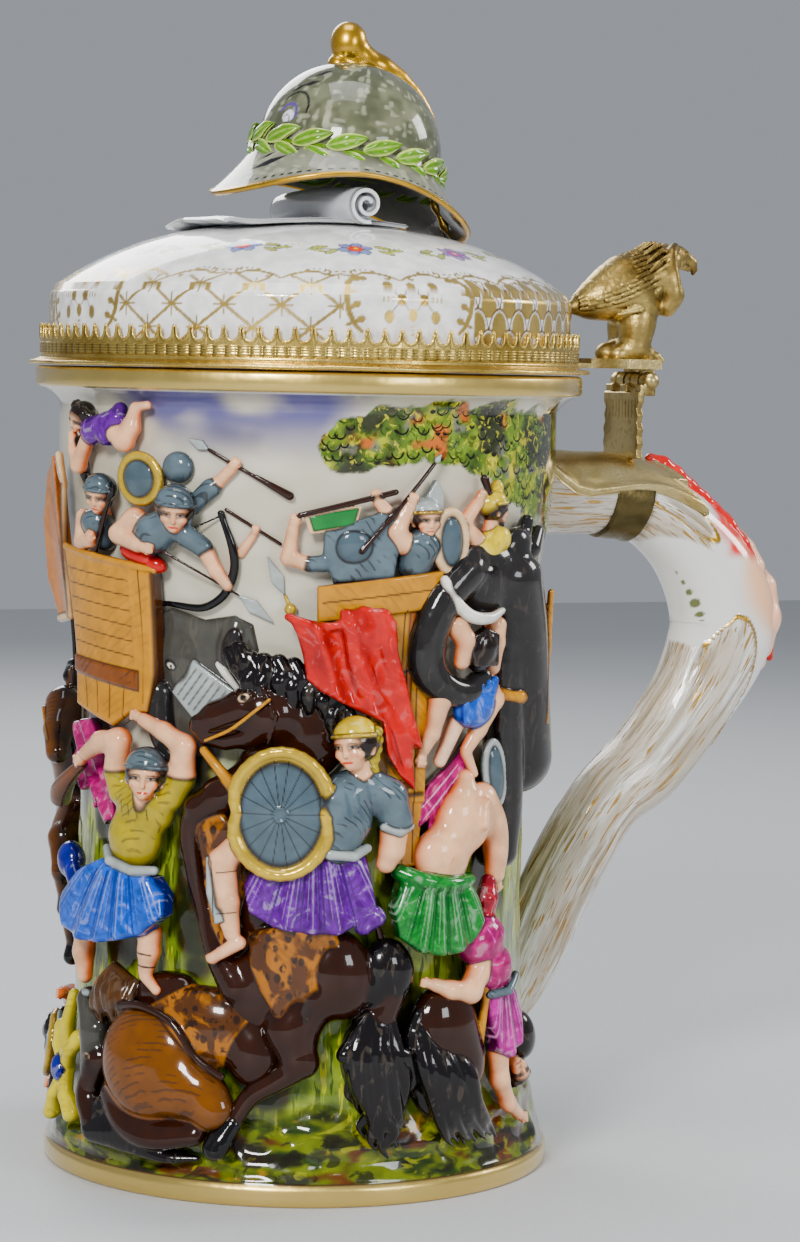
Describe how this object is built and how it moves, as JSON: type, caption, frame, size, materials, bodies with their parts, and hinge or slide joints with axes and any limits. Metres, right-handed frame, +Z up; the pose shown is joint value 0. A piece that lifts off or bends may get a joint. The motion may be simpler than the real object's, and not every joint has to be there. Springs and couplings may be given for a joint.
{
  "type": "beer stein",
  "caption": "Lidded porcelain beer stein: battle frieze in high relief, masked handle, brass hinge with thumb lift, domed lid with a helmet finial.",
  "frame": {"origin": "centre of the foot ring's resting face", "axes": "+Z up along the mug's axis, +X towards the handle, and the lid's hinge axis parallel to +Y"},
  "size_m": [0.1839, 0.1234, 0.2503],
  "materials": {
    "glazed_body": "glossy enamelled porcelain",
    "handle_glaze": "glossy porcelain with gilded bark strokes",
    "mask_glaze": "glossy flesh enamel",
    "red_glaze": "glossy red enamel",
    "flesh_glaze": "glossy polychrome enamels",
    "armour_glaze": "glossy blue-grey enamel",
    "ochre_glaze": "glossy ochre enamel with brown lines",
    "grey_glaze": "glossy grey enamel",
    "horse_glaze": "glossy brown enamel",
    "yellow_glaze": "glossy yellow enamel",
    "lid_glaze": "glossy white porcelain with gilding",
    "helmet_glaze": "glossy grey enamel",
    "wreath_glaze": "glossy green enamel",
    "gilding": "burnished gilding",
    "mount_brass": "cast brass, darkened in the hollows",
    "gallery_brass": "polished stamped brass",
    "bedding_plaster": "matt plaster"
  },
  "bodies": {
    "mug": {"mug_body": "glazed_body", "handle": "handle_glaze", "handle_mask": "mask_glaze", "handle_crest": "red_glaze", "howdah_left": "ochre_glaze", "tower_guards": "armour_glaze", "archer": "armour_glaze", "elephant_left": "grey_glaze", "javelins": "horse_glaze", "howdah_right": "ochre_glaze", "banner_guards": "armour_glaze", "elephant_right": "grey_glaze", "falling_man": "flesh_glaze", "red_flag": "red_glaze", "rider": "flesh_glaze", "war_horse": "horse_glaze", "axeman": "flesh_glaze", "fallen_horse": "horse_glaze", "captive": "flesh_glaze", "stooping_man": "flesh_glaze", "dark_horse": "horse_glaze", "flower": "yellow_glaze", "elephant_rear": "grey_glaze", "howdah_rear": "ochre_glaze", "rear_guards": "armour_glaze", "rear_rider": "flesh_glaze", "rear_horse": "horse_glaze", "rear_swordsman": "flesh_glaze", "rear_spearman": "flesh_glaze", "rear_fallen_man": "flesh_glaze", "handle_saddle": "mount_brass", "handle_strap": "mount_brass", "hinge_post": "mount_brass", "hinge_pin": "mount_brass"},
    "lid": {"lid_dome": "lid_glaze", "lid_bedding": "bedding_plaster", "lid_flange": "gallery_brass", "lid_gallery": "gallery_brass", "lid_tang": "gallery_brass", "thumb_plate": "gallery_brass", "thumb_eagle": "mount_brass", "parchment_sheet": "lid_glaze", "parchment_roll": "lid_glaze", "helmet": "helmet_glaze", "helmet_crest": "gilding", "laurel_wreath": "wreath_glaze"}
  },
  "joints": [
    {"name": "lid_hinge", "type": "hinge", "parent": "mug", "child": "lid", "pos_m": [0.082, 0, 0.1732], "axis": [0, 1, 0], "range_deg": [0, 100]}
  ]
}
